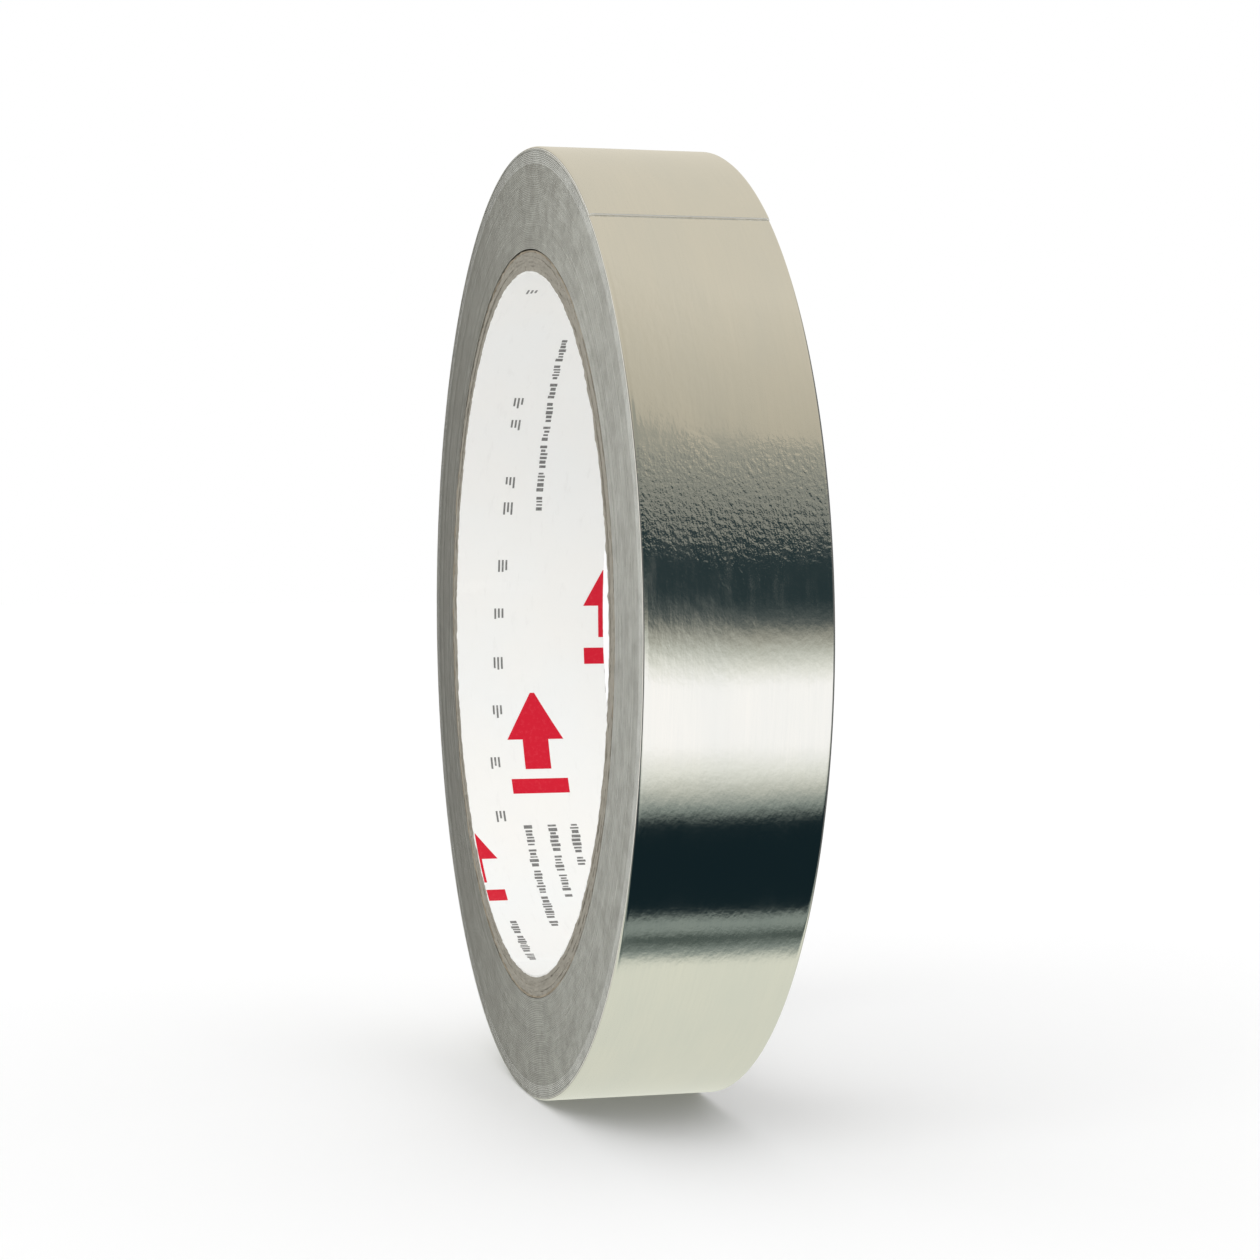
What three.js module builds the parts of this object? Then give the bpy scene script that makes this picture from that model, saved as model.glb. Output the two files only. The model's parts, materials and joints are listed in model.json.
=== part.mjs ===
// A roll of tin-plated copper foil tape, wound with its release liner on a paper core.
// Millimetres, +Z up. The roll's axis is Y, and the origin is the middle of the core.
// The roll stands on its tread, and the tape's free end lies on the upper front.

import * as THREE from "three";

// ---- driving dimensions ----

const TAPE_WIDTH = 18.6; // a nominal 3/4 inch slit
const CORE_BORE_RADIUS = 38.1; // for a 3 inch hub

// The core's plies, from the bore outwards.
const PRINT_PLY = 0.2;
const BOARD_PLY = 0.5;
const BOARD_PLIES = 4;
const WRAP_PLY = 0.2;

// The tape's layers, and how often it goes round the core.
const FOIL = 0.04;
const ADHESIVE = 0.03;
const LINER = 0.12;
const TURNS = 58;

// Where the tape ends, as an angle from +X towards +Z, and how much of it is loose.
const FREE_END_DEG = 52.5;
const LOOSE_DEG = 20; // this much of the tape lifts off the roll
const PEELED_DEG = 15; // and this much of its foil peels off the liner

const FACETS = 72; // round surfaces have this many flats, one of them level at the bottom
const FOLD_GAP = 0.15; // left on each side of a fold line
const LOOSE_GAP = 0.02; // left under each layer that comes away

// ---- what follows from them ----

const STEP_DEG = 360 / FACETS;
const TAPE = FOIL + ADHESIVE + LINER;
const CORE_RADIUS = CORE_BORE_RADIUS + PRINT_PLY + BOARD_PLIES * BOARD_PLY + WRAP_PLY;
const ROLL_RADIUS = CORE_RADIUS + TURNS * TAPE;
const LIFT_AT = 360 - LOOSE_DEG;
const PEEL_AT = 360 - PEELED_DEG;
const FOLD_GAP_DEG = THREE.MathUtils.radToDeg(FOLD_GAP / ROLL_RADIUS);

// ---- materials ----

function finish(color, roughness, metalness = 0) {
  return new THREE.MeshStandardMaterial({ color, roughness, metalness });
}

const TINNED_FOIL = finish(0xc9c8c0, 0.22, 1);
const CLEAR_ADHESIVE = finish(0xb9b7aa, 0.35);
const LINER_PAPER = finish(0xe9e6da, 0.6);
const WOUND_EDGE = finish(0x969a94, 0.5, 0.5);
const PRINT_PAPER = finish(0xf1efea, 0.55);
const BOARD = finish(0x8d7f6c, 0.9);
const WRAP_PAPER = finish(0xa38f72, 0.85);

// ---- geometry ----

// The point at an angle and a radius, in the plane that the roll turns in.
function polar(degrees, radius) {
  const angle = THREE.MathUtils.degToRad(degrees);
  return new THREE.Vector2(radius * Math.cos(angle), radius * Math.sin(angle));
}

// The last turn's outer surface, as flats. travel is how far round the last turn a point is,
// from 0 to 360 at the free end, where the roll is at its largest. depth is measured inwards.
function onLastTurn(travel, depth) {
  const corner = (k) => polar(FREE_END_DEG - k * STEP_DEG, radiusAt(k * STEP_DEG) - depth);
  const before = Math.floor(travel / STEP_DEG + 1e-9);
  return corner(before).lerp(corner(before + 1), travel / STEP_DEG - before);
}

function radiusAt(travel) {
  return ROLL_RADIUS - TAPE + (TAPE * travel) / 360;
}

// The travels of a stretch's ends and of every corner between them.
function stops(from, to) {
  const first = Math.floor(from / STEP_DEG) + 1;
  const last = Math.ceil(to / STEP_DEG) - 1;
  const between = Array.from({ length: last - first + 1 }, (_, i) => (first + i) * STEP_DEG);
  return [from, ...between, to];
}

// An outline in the roll's plane, as wide as the tape and centred on it.
function slab(outline) {
  const geometry = new THREE.ExtrudeGeometry(outline, { depth: TAPE_WIDTH, bevelEnabled: false });
  return geometry.rotateX(Math.PI / 2).translate(0, TAPE_WIDTH / 2, 0);
}

function circle(radius) {
  const corners = Array.from({ length: FACETS }, (_, i) => (
    polar(FREE_END_DEG + i * STEP_DEG, radius)
  ));
  return new THREE.Path(corners);
}

// A closed ring, such as a ply of the core.
function ring(innerRadius, outerRadius) {
  const outline = new THREE.Shape(circle(outerRadius).getPoints());
  outline.holes.push(circle(innerRadius));
  return slab(outline);
}

// One layer of the last turn, from one travel to another and from one depth to another.
function layer(from, to, top, bottom) {
  const over = stops(from, to).map((travel) => onLastTurn(travel, top));
  const under = stops(from, to).map((travel) => onLastTurn(travel, bottom));
  return slab(new THREE.Shape([...over, ...under.reverse()]));
}

// ---- the roll ----

const roll = new THREE.Group();

function add(name, geometry, material) {
  const mesh = new THREE.Mesh(geometry, material);
  mesh.name = name;
  roll.add(mesh);
}

// The core: a printed ply that lines the bore, the board plies, and the ply that the tape is on.
function addCore() {
  let radius = CORE_BORE_RADIUS;
  const addPly = (name, thickness, material) => {
    add(name, ring(radius, radius + thickness), material);
    radius += thickness;
  };
  addPly("core_print_ply", PRINT_PLY, PRINT_PAPER);
  for (let ply = 1; ply <= BOARD_PLIES; ply++) addPly(`core_board_ply_${ply}`, BOARD_PLY, BOARD);
  addPly("core_wrap_ply", WRAP_PLY, WRAP_PAPER);
}

// Every turn but the last. Its outside is the seat of the last turn, with a step one tape thick
// where the last turn begins.
function addWoundTurns() {
  const seat = stops(0, 360).map((travel) => onLastTurn(travel, TAPE));
  const outline = new THREE.Shape(seat);
  outline.holes.push(circle(CORE_RADIUS));
  add("wound_turns", slab(outline), WOUND_EDGE);
}

// The last turn, up to the line where its end lifts: liner inside, foil outside.
function addLastTurn() {
  const from = FOLD_GAP_DEG;
  const to = LIFT_AT - FOLD_GAP_DEG;
  add("last_turn_liner", layer(from, to, FOIL + ADHESIVE, TAPE), LINER_PAPER);
  add("last_turn_adhesive", layer(from, to, FOIL, FOIL + ADHESIVE), CLEAR_ADHESIVE);
  add("last_turn_foil", layer(from, to, 0, FOIL), TINNED_FOIL);
}

// The loose end. It lies on the roll a little proud, all of it lifts at LIFT_AT, and past PEEL_AT
// its foil and adhesive peel off the liner.
function addLooseEnd() {
  const linerFrom = LIFT_AT + FOLD_GAP_DEG;
  const linerTop = FOIL + ADHESIVE - LOOSE_GAP;
  add("end_liner", layer(linerFrom, 360, linerTop, linerTop + LINER), LINER_PAPER);
  const addFoil = (name, from, to, gap) => {
    const bottom = linerTop - gap;
    const middle = bottom - ADHESIVE;
    add(`${name}_adhesive`, layer(from, to, middle, bottom), CLEAR_ADHESIVE);
    add(`${name}_foil`, layer(from, to, middle - FOIL, middle), TINNED_FOIL);
  };
  addFoil("end", linerFrom, PEEL_AT - FOLD_GAP_DEG, 0);
  addFoil("tip", PEEL_AT + FOLD_GAP_DEG, 360, LOOSE_GAP);
}

addCore();
addWoundTurns();
addLastTurn();
addLooseEnd();

export default roll;
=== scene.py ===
"""The looks of a roll of tin-plated foil tape on its printed paper core.

Lengths are in millimetres and angles in degrees, until a mesh is made. The roll's axis is Y.
A place on the tape is given by its travel: how far round the last turn it is, clockwise as the
near side (-Y) shows it, from 0 at the angle of the free end to 360 at the free end itself. A
negative travel is on the turns under the last one.
"""

import json
import math

import bmesh
import bpy
import numpy as np
from mathutils import Matrix, Vector


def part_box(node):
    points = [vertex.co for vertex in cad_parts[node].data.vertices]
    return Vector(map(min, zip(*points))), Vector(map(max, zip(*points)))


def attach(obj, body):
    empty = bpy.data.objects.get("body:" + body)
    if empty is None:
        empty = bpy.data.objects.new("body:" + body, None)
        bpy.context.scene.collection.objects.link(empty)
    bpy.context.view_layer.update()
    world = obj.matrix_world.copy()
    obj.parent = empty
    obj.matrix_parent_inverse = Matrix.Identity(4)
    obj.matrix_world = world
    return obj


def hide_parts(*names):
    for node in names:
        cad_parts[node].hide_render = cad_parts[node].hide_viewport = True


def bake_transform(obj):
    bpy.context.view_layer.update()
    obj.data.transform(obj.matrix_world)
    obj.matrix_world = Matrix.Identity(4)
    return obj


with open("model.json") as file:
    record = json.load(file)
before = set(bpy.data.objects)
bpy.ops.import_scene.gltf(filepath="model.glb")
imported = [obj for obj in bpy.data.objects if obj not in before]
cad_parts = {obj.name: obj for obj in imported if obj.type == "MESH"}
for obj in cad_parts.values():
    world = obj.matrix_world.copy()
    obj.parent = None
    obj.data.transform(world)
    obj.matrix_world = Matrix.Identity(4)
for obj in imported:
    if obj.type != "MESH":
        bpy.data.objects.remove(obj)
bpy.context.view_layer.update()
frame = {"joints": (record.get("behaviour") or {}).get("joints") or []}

MM = 0.001

# ---- the tape and the core: the part's driving dimensions, and the frame's own ----

FOIL = 0.04
ADHESIVE = 0.03
LINER = 0.12
TAPE = FOIL + ADHESIVE + LINER
TURNS = 58
FREE_END_ANGLE = 52.5
BORE_RADIUS = 38.1
FLAT = 5  # the frame's round surfaces are flats of this many degrees


def node_radius(node):
    """The radius of a ring of the frame, which has a corner half a flat away from +X."""
    low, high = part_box(node)
    return (high.x - low.x) / MM / 2 / math.cos(math.radians(FLAT / 2))


def hinge(name):
    """A joint's point, in metres, and its travel."""
    joint = next(j for j in frame["joints"] if j["name"] == name)
    point = Vector(joint["pos_m"])
    return point, 360 + FREE_END_ANGLE - math.degrees(math.atan2(point.z, point.x))


HALF_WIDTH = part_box("wound_turns")[1].y / MM
CORE_RADIUS = node_radius("core_wrap_ply")
ROLL_RADIUS = CORE_RADIUS + TURNS * TAPE
LIFT_POINT, LIFT_AT = hinge("tape_end_lift")
PEEL_POINT, PEEL_AT = hinge("foil_peel")

# ---- meshes ----

SHARP_FROM = 32  # faces that meet at more than this are shaded with a sharp edge


def polar(angle, radius, y):
    """Points from arrays, or numbers, of angles, radii and places across the width."""
    turn = np.radians(angle)
    x, y, z = np.broadcast_arrays(radius * np.cos(turn), y, radius * np.sin(turn))
    return np.stack([x, y, z], axis=-1)


def grid_faces(rows, columns):
    """The faces of a grid of points, numbered row by row."""
    row = np.arange(rows - 1)[:, None]
    column = np.arange(columns - 1)[None, :]
    near, far = row * columns + column, (row + 1) * columns + column
    return np.stack([near, far, far + 1, near + 1], axis=-1).reshape(-1, 4)


def open_edges(faces):
    """The directed edges that only one face has."""
    start, end = faces.ravel(), np.roll(faces, -1, axis=1).ravel()
    size = faces.max() + 1
    lone = ~np.isin(start * size + end, end * size + start)
    return start[lone], end[lone]


class Shell:
    """A closed shell: a sheet of faces, the same faces on a second sheet of points, and walls
    between the two sheets' open edges. The sheets' faces come first."""

    def __init__(self, first, second, faces, uv):
        first, second = first.reshape(-1, 3), second.reshape(-1, 3)
        count = len(first)
        start, end = open_edges(faces)
        walls = np.stack([end, start, start + count, end + count], axis=-1)
        self.sheet_faces = 2 * len(faces)
        self.points = np.concatenate([first, second])
        self.faces = np.concatenate([faces, faces[:, ::-1] + count, walls])
        self.uv = np.concatenate([uv.reshape(-1, 2)] * 2)


def make_piece(name, shell, materials, kinds=None):
    """A mesh object of a shell. kinds says which material each face has, where there are several."""
    mesh = bpy.data.meshes.new(name)
    mesh.from_pydata((shell.points * MM).tolist(), [], shell.faces.tolist())
    for material in materials:
        mesh.materials.append(material)
    if kinds is not None:
        mesh.polygons.foreach_set("material_index", kinds.astype(np.int32))
    corners = np.zeros(len(mesh.loops), np.int32)
    mesh.loops.foreach_get("vertex_index", corners)
    layer = mesh.uv_layers.new(name="along_and_across")
    layer.data.foreach_set("uv", shell.uv[corners].astype(np.float32).ravel())
    work = bmesh.new()
    work.from_mesh(mesh)
    bmesh.ops.recalc_face_normals(work, faces=work.faces)
    work.to_mesh(mesh)
    work.free()
    mesh.shade_smooth()
    mesh.set_sharp_from_angle(angle=math.radians(SHARP_FROM))
    piece = bpy.data.objects.new(name, mesh)
    bpy.context.scene.collection.objects.link(piece)
    return piece


def finish_piece(piece, body, slot, *nodes):
    """Puts a piece on a body, and hides the nodes that it replaces. slot is not used."""
    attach(piece, body)
    if nodes:
        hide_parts(*nodes)


class Waves:
    """Smooth random relief in one or two directions, as a sum of waves, about 1 high or low."""

    def __init__(self, seed, shortest, longest, count=28, stretch=1.0):
        random = np.random.default_rng(seed)
        length = np.exp(random.uniform(math.log(shortest), math.log(longest), count))
        way = random.uniform(0, math.tau, count)
        self.along = math.tau / length * np.cos(way) / stretch
        self.across = math.tau / length * np.sin(way)
        self.phase = random.uniform(0, math.tau, count)
        self.scale = math.sqrt(2 / count)

    def at(self, u, v=0.0):
        u, v = np.broadcast_arrays(np.asarray(u, float), np.asarray(v, float))
        total = np.zeros(u.shape)
        for along, across, phase in zip(self.along, self.across, self.phase):
            total += np.sin(along * u + across * v + phase)
        return total * self.scale


def smoothstep(value, low, high):
    share = np.clip((value - low) / (high - low), 0, 1)
    return share * share * (3 - 2 * share)


# ---- materials ----


def rgb(red, green, blue):
    return (red, green, blue, 1.0)


class Nodes:
    """A node tree, and short ways to add nodes to it. An input is a value or another node's output."""

    def __init__(self, tree):
        self.tree = tree

    def set(self, node, key, value):
        socket = node.inputs[key]
        if isinstance(value, bpy.types.NodeSocket):
            self.tree.links.new(value, socket)
        else:
            socket.default_value = value

    def node(self, kind, inputs, output=0, **settings):
        made = self.tree.nodes.new(kind)
        for key, value in settings.items():
            setattr(made, key, value)
        for key, value in inputs.items():
            self.set(made, key, value)
        return made.outputs[output]

    def math(self, operation, a, b=0.0):
        return self.node("ShaderNodeMath", {0: a, 1: b}, operation=operation)

    def span(self, value, low, high, to_low=0.0, to_high=1.0, **settings):
        """value, brought from between low and high to between to_low and to_high, and held there."""
        inputs = {"Value": value, "From Min": low, "From Max": high, "To Min": to_low, "To Max": to_high}
        return self.node("ShaderNodeMapRange", inputs, **settings)

    def mix(self, share, first, second):
        return self.node("ShaderNodeMix", {0: share, 6: first, 7: second}, output=2, data_type="RGBA")


class Material(Nodes):
    """A Principled material. Its places and noise are in millimetres."""

    def __init__(self, name, **sockets):
        self.material = bpy.data.materials.new(name)
        self.material.use_nodes = True
        super().__init__(self.material.node_tree)
        self.shader = self.tree.nodes["Principled BSDF"]
        self.drive(**sockets)

    def drive(self, **sockets):
        """Sets the shader's sockets, which are named in lower case with underscores."""
        for key, value in sockets.items():
            self.set(self.shader, key.replace("_", " ").title().replace("Ior", "IOR"), value)

    def scaled(self, vector, scale):
        return self.node("ShaderNodeVectorMath", {0: vector, 1: scale}, operation="MULTIPLY")

    def uv(self):
        """The place along and across the tape."""
        return self.node("ShaderNodeUVMap", {}, uv_map="along_and_across")

    def place(self):
        """The place in the frame."""
        metres = self.node("ShaderNodeTexCoord", {}, output="Object")
        return self.scaled(metres, (1 / MM,) * 3)

    def rings(self, across, along):
        """A place for noise that is drawn out round the axis, with a scale across the turns and
        one along them."""
        x = self.node("ShaderNodeSeparateXYZ", {0: self.place()}, output="X")
        z = x.node.outputs["Z"]
        radius = self.math("SQRT", self.math("ADD", self.math("POWER", x, 2.0), self.math("POWER", z, 2.0)))
        scales = ((x, along), (z, along), (radius, across))
        scaled = [self.math("MULTIPLY", value, scale) for value, scale in scales]
        return self.node("ShaderNodeCombineXYZ", dict(zip("XYZ", scaled)))

    def noise(self, vector, scale=1.0, detail=2.0, roughness=0.5, distortion=0.0):
        inputs = {"Vector": vector, "Scale": scale, "Detail": detail}
        inputs.update({"Roughness": roughness, "Distortion": distortion})
        return self.node("ShaderNodeTexNoise", inputs, output="Fac")

    def bump(self, height, distance, normal=None):
        """distance is the height of a step from 0 to 1."""
        inputs = {"Height": height, "Distance": distance * MM, "Strength": 1.0}
        if normal is not None:
            inputs["Normal"] = normal
        return self.node("ShaderNodeBump", inputs)


# Stretches of the foil, by their middle and half their length along the last turn.
HANDLED_AT = 35.8  # pitted by handling
HANDLED_HALF = 5.5
HAZY_AT = 40.0  # dulled in streaks
HAZY_HALF = 4.5
FADE = 2.0  # over which they start and end

CREPT_AND_SHADOW = 0.45  # how far past the free end the foil is darker: crept adhesive, and painted shadow of the end's step


def tinned_foil():
    """Bright tin over rolled copper: faint grain along the tape and dimples all over it, pits where
    the roll has been handled, hazy streaks, a few dull smears, and just past the free end a darker
    band, partly crept adhesive and partly painted shadow of the end's step."""
    foil = Material("tinned_foil", metallic=1.0)
    uv = foil.uv()
    along = foil.node("ShaderNodeSeparateXYZ", {0: uv}, output="X")
    grain = foil.noise(foil.scaled(uv, (0.10, 4.0, 1)), detail=4, roughness=0.65)
    dimples = foil.noise(foil.scaled(uv, (0.7, 1.1, 1)), detail=3, roughness=0.55)
    pits = foil.noise(foil.scaled(uv, (1.5, 2.1, 1)), detail=2.5, roughness=0.6)
    smears = foil.noise(foil.scaled(uv, (0.06, 0.16, 1)), detail=3, roughness=0.55)
    streaks = foil.noise(foil.scaled(uv, (0.15, 0.7, 1)), detail=3, roughness=0.6)

    from_handled = foil.math("ABSOLUTE", foil.math("SUBTRACT", along, HANDLED_AT))
    ragged = foil.math("ADD", from_handled, foil.span(smears, 0.3, 0.7, -1.5, 1.5))
    handled = foil.span(ragged, HANDLED_HALF - FADE, HANDLED_HALF + FADE, 1.0, 0.0)
    from_hazy = foil.math("ABSOLUTE", foil.math("SUBTRACT", along, HAZY_AT))
    hazy = foil.span(from_hazy, HAZY_HALF - FADE, HAZY_HALF + FADE, 1.0, 0.0)

    tint = foil.mix(foil.span(smears, 0.35, 0.65), rgb(0.80, 0.785, 0.74), rgb(0.77, 0.765, 0.73))
    tint = foil.mix(foil.span(grain, 0.35, 0.7, 0, 0.25), tint, rgb(0.72, 0.72, 0.69))
    # Darker just past the free end: crept adhesive, and painted shadow of the end's step.
    from_end = foil.math("ADD", foil.math("ABSOLUTE", along), foil.span(pits, 0.3, 0.7, -0.2, 0.25))
    crept_and_shadow = foil.math("MULTIPLY", foil.span(from_end, 0, CREPT_AND_SHADOW, 1, 0), foil.span(smears, 0.3, 0.6, 0.9, 0.3))
    tint = foil.mix(crept_and_shadow, tint, rgb(0.57, 0.54, 0.46))

    dull = foil.math("ADD", foil.span(grain, 0.3, 0.7, 0.06, 0.09), foil.span(smears, 0.45, 0.75, 0, 0.05))
    haze = foil.math("MULTIPLY", hazy, foil.span(streaks, 0.45, 0.65, 0.0, 0.09))
    normal = foil.bump(grain, 0.0004)
    normal = foil.bump(dimples, 0.009, normal)
    normal = foil.bump(foil.math("MULTIPLY", pits, foil.math("ADD", handled, 0.05)), 0.062, normal)
    foil.drive(base_color=tint, roughness=foil.math("ADD", dull, haze), normal=normal)
    return foil.material


def burr_and_painted_highlight():
    """The slitter's burr, pale and dull, a painted highlight where bright tin would catch the light:
    on the outside of every turn of foil, on the foil's edge in the outermost turns, and at the cut end."""
    wall = Material("foil_wall_painted_highlight", metallic=0.25)
    drawn = wall.noise(wall.rings(3.0, 0.25), detail=4, roughness=0.6)
    patches = wall.noise(wall.place(), scale=0.5, detail=5, roughness=0.65)
    tint = wall.mix(wall.span(drawn, 0.35, 0.65), rgb(0.72, 0.73, 0.69), rgb(0.84, 0.84, 0.81))
    tint = wall.mix(wall.span(patches, 0.45, 0.7, 0, 0.5), tint, rgb(0.55, 0.56, 0.52))
    wall.drive(base_color=tint, roughness=wall.span(drawn, 0.3, 0.7, 0.5, 0.6))
    wall.drive(normal=wall.bump(drawn, 0.004))
    return wall.material


def foil_edge():
    """The slit edges of the foil: dull tin, dirtier in patches."""
    edge = Material("foil_edge", metallic=0.75)
    drawn = edge.noise(edge.rings(3.0, 0.25), detail=4, roughness=0.6)
    patches = edge.noise(edge.place(), scale=0.14, detail=4, roughness=0.6)
    tint = edge.mix(edge.span(drawn, 0.35, 0.65), rgb(0.36, 0.365, 0.34), rgb(0.50, 0.505, 0.47))
    tint = edge.mix(edge.span(patches, 0.35, 0.65, 0, 0.5), tint, rgb(0.32, 0.31, 0.28))
    edge.drive(base_color=tint, roughness=edge.span(drawn, 0.3, 0.7, 0.38, 0.55))
    edge.drive(normal=edge.bump(drawn, 0.01))
    return edge.material


def adhesive():
    """Clear acrylic adhesive, which shows the foil greyly through it."""
    glue = Material("adhesive", ior=1.47, coat_weight=0.5, coat_roughness=0.12)
    uv = glue.uv()
    flow = glue.noise(glue.scaled(uv, (0.25, 1.2, 1)), detail=3)
    orange_peel = glue.noise(uv, scale=1.4, detail=2)
    tint = glue.mix(glue.span(flow, 0.3, 0.7), rgb(0.42, 0.41, 0.37), rgb(0.50, 0.49, 0.44))
    glue.drive(base_color=tint, metallic=0.35, roughness=glue.span(flow, 0.3, 0.7, 0.26, 0.4))
    glue.drive(normal=glue.bump(orange_peel, 0.01))
    return glue.material


def adhesive_edge():
    """Adhesive at the wound edge, dark with dust."""
    edge = Material("adhesive_edge")
    patches = edge.noise(edge.rings(2.0, 0.5), detail=4, roughness=0.6)
    tint = edge.mix(edge.span(patches, 0.3, 0.7), rgb(0.07, 0.068, 0.06), rgb(0.13, 0.125, 0.11))
    edge.drive(base_color=tint, roughness=edge.span(patches, 0.3, 0.7, 0.5, 0.65))
    edge.drive(normal=edge.bump(patches, 0.008))
    return edge.material


def liner_paper():
    """Silicone-coated bleached paper, with a faint sheen and fibres."""
    paper = Material("liner_paper", coat_weight=0.25, coat_roughness=0.3)
    uv = paper.uv()
    fibres = paper.noise(paper.scaled(uv, (1.2, 3.5, 1)), detail=5, roughness=0.7, distortion=0.6)
    clouds = paper.noise(uv, scale=0.2, detail=3)
    tint = paper.mix(paper.span(clouds, 0.3, 0.7), rgb(0.80, 0.77, 0.69), rgb(0.85, 0.83, 0.76))
    tint = paper.mix(paper.span(fibres, 0.55, 0.8, 0, 0.3), tint, rgb(0.66, 0.61, 0.52))
    paper.drive(base_color=tint, roughness=paper.span(fibres, 0.3, 0.7, 0.42, 0.55))
    paper.drive(normal=paper.bump(fibres, 0.008))
    return paper.material


def liner_edge():
    """The liner at the wound edge: cut paper, greyed by dust, and darker in patches."""
    edge = Material("liner_edge")
    drawn = edge.noise(edge.rings(2.5, 0.3), detail=4, roughness=0.65)
    patches = edge.noise(edge.place(), scale=0.5, detail=5, roughness=0.65)
    tint = edge.mix(edge.span(drawn, 0.3, 0.7), rgb(0.28, 0.285, 0.255), rgb(0.40, 0.405, 0.365))
    tint = edge.mix(edge.span(patches, 0.4, 0.65, 0, 0.7), tint, rgb(0.19, 0.185, 0.165))
    edge.drive(base_color=tint, roughness=edge.span(drawn, 0.3, 0.7, 0.7, 0.85))
    edge.drive(normal=edge.bump(drawn, 0.015))
    return edge.material


def lining_paper():
    """Coated white paper inside the core, with faint fibre, a cream cast in clouds and scuffs."""
    paper = Material("lining_paper", coat_weight=0.15, coat_roughness=0.35)
    place = paper.place()
    fibres = paper.noise(place, scale=1.6, detail=6, roughness=0.7, distortion=0.5)
    clouds = paper.noise(place, scale=0.06, detail=3)
    scuffs = paper.noise(paper.scaled(place, (0.3, 1.2, 0.3)), detail=5, roughness=0.7)
    tint = paper.mix(paper.span(clouds, 0.3, 0.7), rgb(0.85, 0.86, 0.85), rgb(0.87, 0.86, 0.83))
    tint = paper.mix(paper.span(scuffs, 0.58, 0.78, 0, 0.35), tint, rgb(0.70, 0.69, 0.67))
    paper.drive(base_color=tint, roughness=paper.span(fibres, 0.3, 0.7, 0.45, 0.6))
    paper.drive(normal=paper.bump(fibres, 0.012))
    return paper.material


def ink(name, full, thin):
    """Ink on the lining, a little mottled where the paper shows through."""
    film = Material(name, specular_ior_level=0.25)
    mottle = film.noise(film.place(), scale=2.2, detail=5, roughness=0.7)
    tint = film.mix(film.span(mottle, 0.52, 0.75), full, thin)
    film.drive(base_color=tint, roughness=film.span(mottle, 0.3, 0.7, 0.35, 0.55))
    film.drive(normal=film.bump(mottle, 0.006))
    return film.material


def board(name, dark, pale):
    """Recycled board: grey-brown, with fibres drawn out round the core and specks."""
    pulp = Material(name)
    drawn = pulp.noise(pulp.rings(4.0, 0.6), detail=6, roughness=0.75)
    specks = pulp.noise(pulp.place(), scale=1.1, detail=5, roughness=0.75)
    tint = pulp.mix(pulp.span(drawn, 0.3, 0.7), dark, pale)
    tint = pulp.mix(pulp.span(specks, 0.6, 0.72, 0, 0.5), tint, rgb(0.07, 0.06, 0.05))
    pulp.drive(base_color=tint, roughness=pulp.span(specks, 0.3, 0.7, 0.82, 0.95))
    pulp.drive(normal=pulp.bump(pulp.math("ADD", drawn, specks), 0.03))
    return pulp.material


def floor_material():
    floor = Material("floor", specular_ior_level=0.0)
    grain = floor.noise(floor.place(), scale=0.02, detail=3)
    tint = floor.mix(floor.span(grain, 0.3, 0.7), rgb(0.90, 0.90, 0.90), rgb(0.905, 0.905, 0.905))
    floor.drive(base_color=tint, roughness=floor.span(grain, 0.3, 0.7, 0.6, 0.65))
    return floor.material


# ---- the core ----

PLY_STATIONS = 541  # round a ply, from one side of its seam to the other
PLY_RINGS = 5  # through its thickness
SEAM_GAP = 0.25  # degrees, where a ply's edges meet
FIRST_SEAM = 20
SEAM_TURN = 67  # from one ply's seam to the next ply's
END_ROUGHNESS = 0.035
FINER_ACROSS = 4  # how much finer an end's roughness is across a ply than along it
FAR_END = 500  # where in the random relief the far end starts

# The board plies, and how far each one's ends lie inside the roll's sides.
BOARD_INSETS = {1: 0.02, 2: 0.07, 3: 0.0, 4: 0.05}
LINING_INSET = 0.10
WRAP_INSET = 0.06


def ply_shell(inner, outer, seam, inset, seed):
    """A ply of the core, open at its seam, with slightly rough ends."""
    angle = np.linspace(seam + SEAM_GAP / 2, seam + 360 - SEAM_GAP / 2, PLY_STATIONS)[:, None]
    radius = np.linspace(inner, outer, PLY_RINGS)[None, :]
    arc = np.radians(angle) * radius
    rough = Waves(seed, 0.4, 3.0, stretch=2.0)
    wander = Waves(seed + 1, 30, 120)

    def end_at(start):
        relief = rough.at(arc + start, radius * FINER_ACROSS) + wander.at(arc + start)
        return HALF_WIDTH - inset + END_ROUGHNESS * (relief - 1)

    near, far = polar(angle, radius, -end_at(0)), polar(angle, radius, end_at(FAR_END))
    uv = np.stack(np.broadcast_arrays(arc, radius), axis=-1)
    return Shell(near, far, grid_faces(*arc.shape), uv)


def make_core():
    """The core's plies, from the bore outwards."""
    board_material = board("core_board", rgb(0.225, 0.21, 0.175), rgb(0.36, 0.335, 0.28))
    wrap_material = board("wrap_kraft", rgb(0.26, 0.22, 0.16), rgb(0.36, 0.31, 0.235))
    plies = [("core_lining", "core_print_ply", lining_paper(), "printed_paper", LINING_INSET)]
    for number, inset in BOARD_INSETS.items():
        node = f"core_board_ply_{number}"
        plies.append((f"core_board_{number}", node, board_material, "core_board", inset))
    plies.append(("core_wrap", "core_wrap_ply", wrap_material, "wrap_paper", WRAP_INSET))
    inner = BORE_RADIUS
    for index, (name, node, material, slot, inset) in enumerate(plies):
        outer = node_radius(node)
        shell = ply_shell(inner, outer, FIRST_SEAM + SEAM_TURN * index, inset, seed=40 + 3 * index)
        finish_piece(make_piece(name, shell, [material]), "roll", slot, node)
        inner = outer


# ---- the print on the lining ----

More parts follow.
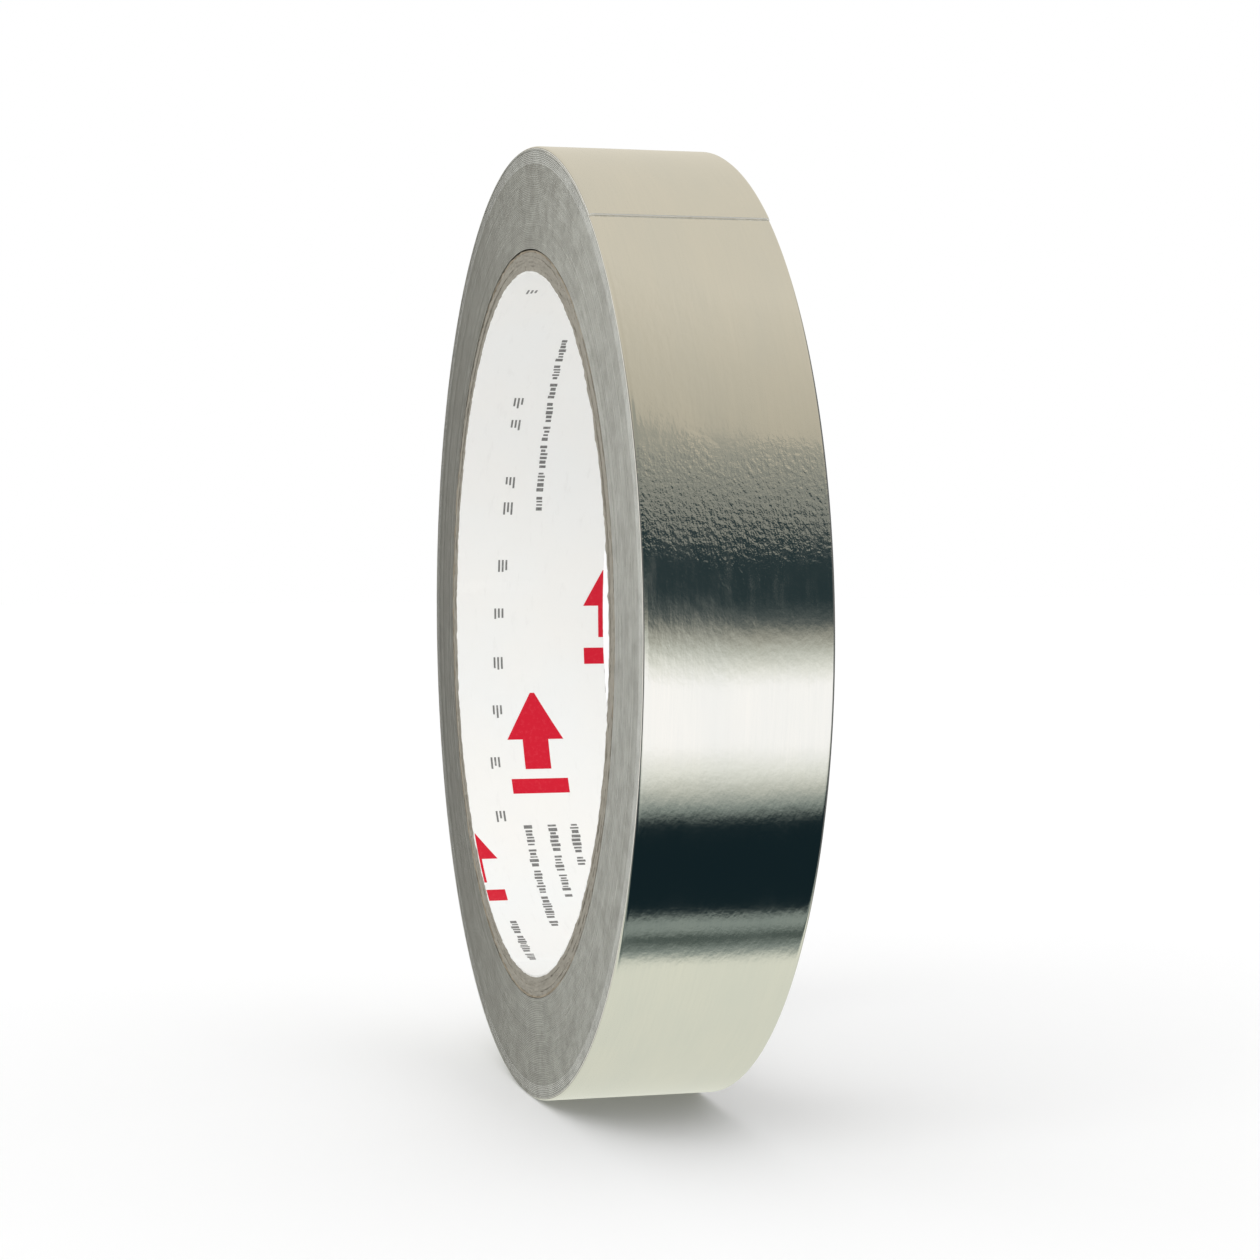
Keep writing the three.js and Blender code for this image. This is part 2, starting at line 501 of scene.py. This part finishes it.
INK = 0.02  # how far the ink stands off the lining
INK_STEP = 0.5  # the most round the bore between an ink shape's stations
PRINTED_HALF = HALF_WIDTH - 0.15


def bore_angle(arc):
    """The angle that a length of the bore takes up."""
    return math.degrees(arc / BORE_RADIUS)


def ink_shape(angle, y, length, edges):
    """A flat shape on the lining. It starts at an angle and runs length round the bore. edges gives
    its two sides, across from y, at each share of its length. None, if it misses the lining."""
    share = np.linspace(0, 1, max(2, math.ceil(length / INK_STEP) + 1))
    low, high = (np.clip(y + edge, -PRINTED_HALF, PRINTED_HALF) for edge in edges(share))
    share, low, high = (values[high - low > 0.01] for values in (share, low, high))
    if len(share) < 2:
        return None
    across = np.stack([low, high], axis=-1)
    around = (angle + bore_angle(length) * share)[:, None]
    lifted = polar(around, BORE_RADIUS - INK, across)
    seated = polar(around, BORE_RADIUS + INK / 2, across)
    uv = np.stack(np.broadcast_arrays(np.radians(around) * BORE_RADIUS, across), axis=-1)
    return Shell(lifted, seated, grid_faces(len(share), 2), uv)


def bar(angle, y, length, width):
    return ink_shape(angle, y, length, lambda s: (s * 0 - width / 2, s * 0 + width / 2))


def join_shells(shells):
    shells = [shell for shell in shells if shell]
    joined = shells[0]
    for shell in shells[1:]:
        joined.faces = np.concatenate([joined.faces, shell.faces + len(joined.points)])
        joined.points = np.concatenate([joined.points, shell.points])
        joined.uv = np.concatenate([joined.uv, shell.uv])
    return joined


# Sizes and places as measured on the photograph's mark.
ARROW_LENGTH = 13.6
ARROW_WIDTH = 7.0
HEAD_LENGTH = 6.4
SHAFT_WIDTH = 3.2
TAIL_BAR = 2.0
TAIL_GAP = 1.3
ARROW_AT = 193  # the middle arrow's tip
ARROW_Y = -0.15
ARROW_PITCH_ANGLE = 25
ARROW_PITCH_ACROSS = 10.3


def arrow(angle, y):
    """A bold arrow, with a bar behind its tail. It points the way the tape is wound."""
    shaft = ARROW_LENGTH - HEAD_LENGTH - TAIL_BAR - TAIL_GAP
    head = ink_shape(angle, y, HEAD_LENGTH, lambda s: (-s * ARROW_WIDTH / 2, s * ARROW_WIDTH / 2))
    body = bar(angle + bore_angle(HEAD_LENGTH), y, shaft, SHAFT_WIDTH)
    tail = bar(angle + bore_angle(HEAD_LENGTH + shaft + TAIL_GAP), y, TAIL_BAR, ARROW_WIDTH)
    return [head, body, tail]


# The shortest and longest word, stroke and gap between strokes, in the hatching.
WORD = (2.0, 4.5)
STROKE = (0.18, 0.5)
STROKE_GAP = (0.16, 0.26)
WORD_GAP = 0.5
HATCHING_WIDTH = 1.1


def small_print(angle, y, length, seed, width=HATCHING_WIDTH, drift=0.0):
    """Words' worth of fine hatching, in place of a line of small print. It moves across by drift
    on the way."""
    random = np.random.default_rng(seed)
    strokes, done, word_end = [], 0.0, 0.0
    while done < length:
        if done >= word_end:
            done += WORD_GAP
            word_end = done + random.uniform(*WORD)
        stroke = random.uniform(*STROKE)
        middle = y + drift * done / length + random.uniform(-0.08, 0.08)
        strokes.append(bar(angle + bore_angle(done), middle, stroke, width * random.uniform(0.6, 1.0)))
        done += stroke + random.uniform(*STROKE_GAP)
    return strokes


def tally(angle, y, seed):
    """Three short strokes side by side, in place of a stamped character."""
    random = np.random.default_rng(seed)
    return [bar(angle, y + step * 0.45, random.uniform(0.9, 1.6), 0.22) for step in (-1, 0, 1)]


# Where the stamped row's strokes are, by angle and place across the width. Most of these places were
# picked on the photograph and traced back to the bore by a program, then rounded.
STAMPED = (
    (102, -6.2), (136, -3.6), (141, -3.5), (153, -3.3), (158, -3.3), (169, -3.6),
    (178, -4.0), (187, -4.2), (196, -4.6), (206, -5.4), (217, -5.6),
)

# The three lines under the arrow, by place across the width and length, as measured the same way.
UNDER_ARROW_AT = 219.5
UNDER_ARROW = ((-2.5, 18), (0.4, 12), (3.1, 7))


def make_print():
    red = ink("red_ink", rgb(0.62, 0.002, 0.022), rgb(0.66, 0.03, 0.05))
    grey = ink("grey_ink", rgb(0.18, 0.18, 0.175), rgb(0.38, 0.38, 0.37))
    arrows = []
    for step in (-1, 0, 1):
        arrows += arrow(ARROW_AT - step * ARROW_PITCH_ANGLE, ARROW_Y + step * ARROW_PITCH_ACROSS)
    finish_piece(make_piece("core_arrows", join_shells(arrows), [red]), "roll", "printed_paper")
    rows = small_print(120, 0.15, 26, seed=5, width=0.9, drift=0.4)
    for line, (y, length) in enumerate(UNDER_ARROW):
        rows += small_print(UNDER_ARROW_AT, y, length, seed=8 + line)
    rows += small_print(244, -7.1, 11, seed=12)
    for seed, (angle, y) in enumerate(STAMPED):
        rows += tally(angle, y, seed)
    finish_piece(make_piece("core_small_print", join_shells(rows), [grey]), "roll", "printed_paper")


# ---- the wound turns ----

STATION = 2.0  # degrees between the points along the wound tape
LAP = -24.0  # the travel where the wound turns' mesh gives way to the outer layers'
LAYER_STEP = 0.02  # how far the foil stands out of the wound side
RIM_STEP = 0.032  # and how far it does near the rim
RIM_FROM = 2.3  # the rim's depth below the roll's radius
RIM_RISE = 0.9  # the depth over which the step grows to the rim's
SHOULDER = 0.10  # how far the side falls back at the roll's radius
SHOULDER_DEPTH = 0.9
WANDER = 0.010  # how far the turns wander sideways
HIGHLIGHT_RIM = 1.8  # the depth over which the foil's edge has the pale burr colour, a painted highlight on the rim
# The last kind has the pale burr colour, a painted highlight.
LINER_KIND, ADHESIVE_KIND, FOIL_KIND, BURR_AND_HIGHLIGHT_KIND = range(4)

side_wander = {-1: Waves(71, 1.5, 12.0), 1: Waves(72, 1.5, 12.0)}


def side_inset(travel, radius, side, is_foil):
    """How far a layer's edge lies inside the roll's side, which is -1 for near and 1 for far."""
    wander = WANDER * (1.2 - side_wander[side].at(travel / 360))
    rim = smoothstep(radius, ROLL_RADIUS - RIM_FROM, ROLL_RADIUS - RIM_FROM + RIM_RISE)
    step = LAYER_STEP + (RIM_STEP - LAYER_STEP) * rim
    shoulder = SHOULDER * smoothstep(radius, ROLL_RADIUS - SHOULDER_DEPTH, ROLL_RADIUS)
    return wander + np.where(is_foil, 0, step) + shoulder


def make_wound_turns(materials):
    """The turns under the last one, as one spiral. Each station has four points outwards: the
    liner's two sides, and the foil's. materials has one for each kind of face."""
    per_turn = round(360 / STATION)
    travel = np.arange(-(TURNS - 2) * 360, LAP + STATION / 2, STATION)[:, None]
    inner = ROLL_RADIUS - 2 * TAPE + TAPE * travel / 360
    is_foil = np.array([False, False, True, True])[None, :]
    radius = inner + np.array([0, LINER, LINER + ADHESIVE, TAPE])[None, :]
    angle = FREE_END_ANGLE - travel
    near = polar(angle, radius, -HALF_WIDTH + side_inset(travel, radius, -1, is_foil))
    far = polar(angle, radius, HALF_WIDTH - side_inset(travel, radius, 1, is_foil))

    strip = grid_faces(len(travel), 4)
    kinds = np.tile([LINER_KIND, ADHESIVE_KIND, FOIL_KIND], len(travel) - 1)
    # The foil's edges in the outer turns get the pale burr colour: a painted highlight on the rim.
    in_highlight_rim = radius[:-1, :3].ravel() > ROLL_RADIUS - HIGHLIGHT_RIM
    kinds = np.where((kinds == FOIL_KIND) & in_highlight_rim, BURR_AND_HIGHLIGHT_KIND, kinds)
    row = np.arange(len(travel) - 1 - per_turn)
    outside, inside = row * 4 + 3, (row + per_turn) * 4
    to_next_turn = np.stack([outside, outside + 4, inside + 4, inside], axis=-1)
    uv = np.stack(np.broadcast_arrays(np.radians(travel) * ROLL_RADIUS, radius), axis=-1)
    shell = Shell(near, far, np.concatenate([strip, to_next_turn]), uv)
    # The foil's outer walls between turns get it too: a painted highlight where bright tin would reflect.
    kinds = np.concatenate([kinds, np.full(len(to_next_turn), BURR_AND_HIGHLIGHT_KIND)])
    walls = np.full(len(shell.faces) - shell.sheet_faces, FOIL_KIND)
    piece = make_piece("wound_tape", shell, materials, np.concatenate([kinds, kinds, walls]))
    finish_piece(piece, "roll", "wound_edge", "wound_turns")


# ---- the outer layers ----

CELL = 0.36  # degrees of travel between points on the foil
ROWS_ACROSS = 60
CROWDING = 1.5  # how much the rows crowd towards the edges
EDGE_ROLL = 0.32  # how much of each edge rolls over
EDGE_DROP = 0.20  # and how far it drops
DROP_FROM = 359.3  # the travel where the end starts to drop
END_DROP = 0.03
SWELL_HEIGHT = 0.004
DIMPLE_HEIGHT = 0.0006

swell = Waves(91, 7.0, 30.0)
dimple = Waves(92, 0.9, 2.6, count=60, stretch=1.6)
patch = Waves(93, 14.0, 45.0)


def relief(travel, y):
    """The foil's height over a smooth turn: long swells, and patches of small dimples."""
    along = np.radians(travel) * ROLL_RADIUS
    dimpled = 0.35 + smoothstep(patch.at(along, y * 0.5), 0.1, 1.3)
    return SWELL_HEIGHT * swell.at(along, y) + DIMPLE_HEIGHT * dimpled * dimple.at(along, y)


def layer_points(travel, y, depth):
    over_edge = np.clip((np.abs(y) - (HALF_WIDTH - EDGE_ROLL)) / EDGE_ROLL, 0, None)
    over_end = np.clip((travel - DROP_FROM) / (360 - DROP_FROM), 0, None)
    drop = EDGE_DROP * over_edge ** 2 + END_DROP * over_end ** 2
    radius = ROLL_RADIUS - TAPE + TAPE * travel / 360 - depth - drop + relief(travel, y)
    return polar(FREE_END_ANGLE - travel, radius, y)


def layer_shell(start, end, top, bottom, inset):
    """A stretch of one layer of the tape, from one travel to another and one depth to another."""
    travel = np.linspace(start, end, max(3, round((end - start) / CELL) + 1))[:, None]
    share = np.linspace(-1, 1, ROWS_ACROSS + 1)[None, :]
    y = (HALF_WIDTH - inset) * np.sign(share) * (1 - (1 - np.abs(share)) ** CROWDING)
    uv = np.stack(np.broadcast_arrays(np.radians(travel) * ROLL_RADIUS, y), axis=-1)
    outer, inner = layer_points(travel, y, top), layer_points(travel, y, bottom)
    return Shell(outer, inner, grid_faces(len(travel), y.shape[1]), uv)


def on_outer_surface(travel):
    """A point of the roll's surface, in metres."""
    return Vector(polar(FREE_END_ANGLE - travel, ROLL_RADIUS, 0.0) * MM)


FOLD_START = LIFT_AT - 1
FOLD_END = LIFT_AT + 3.6
SEAM = LIFT_AT + 4.2  # the travel where the fold stretch's mesh meets the loose end's
PEEL_END = PEEL_AT + 4

# For each layer: its depths, how far its edges lie inside the roll's sides, its slot, and the
# nodes that its still, fold and loose stretches replace.
LAYERS = {
    "foil": (0.0, FOIL, 0.05, "tinned_foil", ("last_turn_foil", "end_foil", "tip_foil")),
    "adhesive": (
        FOIL, FOIL + ADHESIVE, 0.05, "adhesive", ("last_turn_adhesive", "end_adhesive", "tip_adhesive"),
    ),
    "liner": (FOIL + ADHESIVE, TAPE, 0.01, "liner_paper", ("last_turn_liner", None, "end_liner")),
}
FACE_KIND, SIDE_KIND, END_KIND = range(3)


def make_outer_layers(materials):
    """Each layer of the last turn: the stretch that stays, the stretch at the fold, and the loose
    end. materials has three for each layer: for its faces, its side edges and its ends."""
    for layer, (top, bottom, inset, slot, (still_node, fold_node, loose_node)) in LAYERS.items():

        def stretch(name, start, end):
            shell = layer_shell(start, end, top, bottom, inset)
            off_middle = np.abs(shell.points[shell.faces][:, :, 1])
            is_side = off_middle.min(axis=1) > HALF_WIDTH - inset - 0.001
            is_wall = np.arange(len(shell.faces)) >= shell.sheet_faces
            kinds = np.where(is_side, SIDE_KIND, np.where(is_wall, END_KIND, FACE_KIND))
            return make_piece(f"{name}_{layer}", shell, materials[layer], kinds)

        finish_piece(stretch("turn", LAP, FOLD_START), "roll", slot, still_node)
        fold = stretch("fold", FOLD_START, SEAM)
        on_outer_surface(FOLD_END)
        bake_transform(fold)
        if fold_node:
            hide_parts(fold_node)
        loose = stretch("loose", SEAM, 360)
        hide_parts(loose_node)
        if layer == "liner":
            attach(loose, "tape_end")
        else:
            on_outer_surface(PEEL_END)
            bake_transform(loose)


# ---- floor, lights and camera ----

FLOOR_SIZE = 12.0  # metres
BOTTOM_TRAVEL = FREE_END_ANGLE + 90
FLOOR_DEPTH = ROLL_RADIUS - TAPE + TAPE * BOTTOM_TRAVEL / 360 + 0.005  # just under the last turn


def make_floor():
    bpy.ops.mesh.primitive_plane_add(size=FLOOR_SIZE, location=(0, 0, -FLOOR_DEPTH * MM))
    floor = bpy.context.object
    floor.name = "floor"
    floor.data.materials.append(floor_material())
    floor.visible_glossy = False


BEIGE = (0.745, 0.70, 0.59)
GREY_BEIGE = (0.56, 0.52, 0.42)
GAP = (0.022, 0.04, 0.045)
SEEN_IN_GAP = (0.085, 0.105, 0.105)
NAVY = (0.008, 0.019, 0.024)
WHITE = (1.18, 1.18, 1.19)
SOFT_WHITE = (0.90, 0.92, 0.86)
PALE_GREY = (0.60, 0.62, 0.56)
LIGHT_GREY = (0.37, 0.37, 0.315)
MID_GREY = (0.245, 0.26, 0.235)
GREEN_GREY = (0.27, 0.32, 0.295)
DIM_GREEN = (0.045, 0.065, 0.058)
TABLE = (0.82, 0.84, 0.73)
FAR_TABLE = (0.75, 0.765, 0.665)

# The studio as the foil mirrors it, by elevation in the roll's plane: 0 is at +X, 90 overhead and
# -90 straight down. Soft boxes and a table, and the gaps between them. Their places and tones were
# set until the tread's bands matched the photograph, so they suit its viewpoint.
MIRRORED = (
    (-180, WHITE), (-178.5, NAVY), (-176, NAVY), (-174, FAR_TABLE), (-140, FAR_TABLE), (-85, TABLE),
    (-81.5, GREEN_GREY), (-77.5, DIM_GREEN), (-74.5, GREEN_GREY), (-72, GREEN_GREY),
    (-70, NAVY), (-45.5, NAVY),
    (-42, GREEN_GREY), (-38, PALE_GREY), (-34, SOFT_WHITE), (-27, WHITE), (-12.5, WHITE),
    (-8, SOFT_WHITE), (-4.2, PALE_GREY), (-0.6, LIGHT_GREY),
    (3, SEEN_IN_GAP), (8, GAP), (18.5, GAP), (23.5, SEEN_IN_GAP),
    (27.5, LIGHT_GREY), (30.5, MID_GREY), (36, MID_GREY), (38.5, LIGHT_GREY), (47, LIGHT_GREY),
    (49.5, GREY_BEIGE), (90, BEIGE),
)
# Above one elevation they lean, by this share of the way up from it, between two ways across.
LEAN_FROM = -35
LEAN = 0.057
LEAN_LOW = 0.22
LEAN_HIGH = 0.28

# Mirrored sideways, between these ways across, the studio turns to one dim tone.
SIDE_LOW = 0.66
SIDE_HIGH = 0.88
SIDE_TONE = (0.16, 0.165, 0.165)

AMBIENT = (1.0, 1.0, 1.0)
BACKDROP = (1.0, 1.0, 1.0)


def fill_ramp(ramp, places):
    """Gives a colour ramp its stops, from places in degrees between -180 and 180."""
    stops = ramp.elements
    while len(stops) > 1:
        stops.remove(stops[-1])
    for index, (degrees, colour) in enumerate(places):
        position = (degrees + 180) / 360
        stop = stops[0] if index == 0 else stops.new(position)
        stop.position = position
        stop.color = rgb(*colour)


def make_world():
    """Even white light, a plain backdrop for the camera, and the mirrored studio for glossy rays."""
    world = bpy.data.worlds.new("studio")
    bpy.context.scene.world = world
    world.use_nodes = True
    world.node_tree.nodes.clear()
    sky = Nodes(world.node_tree)

    direction = sky.node("ShaderNodeTexCoord", {}, output="Generated")
    x = sky.node("ShaderNodeSeparateXYZ", {0: direction}, output="X")
    y, z = x.node.outputs["Y"], x.node.outputs["Z"]
    elevation = sky.math("ARCTAN2", z, x)
    lean = sky.span(y, LEAN_LOW, LEAN_HIGH, -LEAN, LEAN)
    over = sky.math("MAXIMUM", sky.math("SUBTRACT", elevation, math.radians(LEAN_FROM)), 0.0)
    elevation = sky.math("ADD", elevation, sky.math("MULTIPLY", over, lean))
    share = sky.math("ADD", sky.math("DIVIDE", elevation, math.tau), 0.5)
    studio = sky.node("ShaderNodeValToRGB", {0: share})
    fill_ramp(studio.node.color_ramp, MIRRORED)
    sideways = sky.math("ABSOLUTE", y)
    aside = sky.span(sideways, SIDE_LOW, SIDE_HIGH, interpolation_type="SMOOTHSTEP")
    mirrored = sky.mix(aside, studio, rgb(*SIDE_TONE))

    glossy = sky.node("ShaderNodeLightPath", {}, output="Is Glossy Ray")
    seen = sky.mix(glossy, rgb(*AMBIENT), mirrored)
    seen = sky.mix(glossy.node.outputs["Is Camera Ray"], seen, rgb(*BACKDROP))
    background = sky.node("ShaderNodeBackground", {"Color": seen})
    sky.set(sky.tree.nodes.new("ShaderNodeOutputWorld"), "Surface", background)


KEY_ENERGY = 0.6
KEY_SPREAD = 40
KEY_WAY = (-0.5, 0.55, -0.75)


def make_light():
    light = bpy.data.lights.new("key", "SUN")
    light.energy = KEY_ENERGY
    light.angle = math.radians(KEY_SPREAD)
    sun = bpy.data.objects.new("key", light)
    sun.visible_glossy = False
    sun.rotation_euler = Vector(KEY_WAY).to_track_quat("-Z", "Y").to_euler()
    bpy.context.scene.collection.objects.link(sun)


# From a fit of the camera to the roll's outlines in the photograph.
CAMERA_AZIMUTH = 75.47
CAMERA_ELEVATION = 1.08
CAMERA_ROLL = -0.307
CAMERA_DISTANCE = 309.7
CAMERA_ASIDE = 2.67  # the point that it looks at, to the right of the roll's middle
CAMERA_ABOVE = -0.71  # and above it
LENS = 80.4
SENSOR = 36


def make_camera():
    azimuth, elevation, roll = (math.radians(a) for a in (CAMERA_AZIMUTH, CAMERA_ELEVATION, CAMERA_ROLL))
    level = math.cos(elevation)
    back = Vector((math.sin(azimuth) * level, -math.cos(azimuth) * level, math.sin(elevation)))
    right = Vector((math.cos(azimuth), math.sin(azimuth), 0))
    up = back.cross(right)
    tilted_right = right * math.cos(roll) + up * math.sin(roll)
    tilted_up = up * math.cos(roll) - right * math.sin(roll)
    target = tilted_right * CAMERA_ASIDE + tilted_up * CAMERA_ABOVE
    place = (target + back * CAMERA_DISTANCE) * MM
    data = bpy.data.cameras.new("camera")
    data.sensor_width = SENSOR
    data.lens = LENS
    data.clip_start = 0.005
    camera = bpy.data.objects.new("camera", data)
    turned = Matrix((tilted_right, tilted_up, back)).transposed().to_4x4()
    camera.matrix_world = Matrix.Translation(place) @ turned
    bpy.context.scene.collection.objects.link(camera)
    bpy.context.scene.camera = camera


make_camera()
make_world()
make_light()
make_floor()
make_core()
make_print()
edges = {"liner": liner_edge(), "adhesive": adhesive_edge(), "foil": foil_edge()}
faces = {"liner": liner_paper(), "adhesive": adhesive(), "foil": tinned_foil()}
# The pale burr colour is a painted highlight on the foil's walls and rim.
pale_burr_and_highlight = burr_and_painted_highlight()
# The cut ends of foil and adhesive take the pale burr colour: painted light on the end's step.
ends = {"liner": faces["liner"], "adhesive": pale_burr_and_highlight, "foil": pale_burr_and_highlight}
make_wound_turns([*edges.values(), pale_burr_and_highlight])
make_outer_layers({layer: [faces[layer], edges[layer], ends[layer]] for layer in faces})
bpy.context.scene.view_settings.view_transform = "Standard"
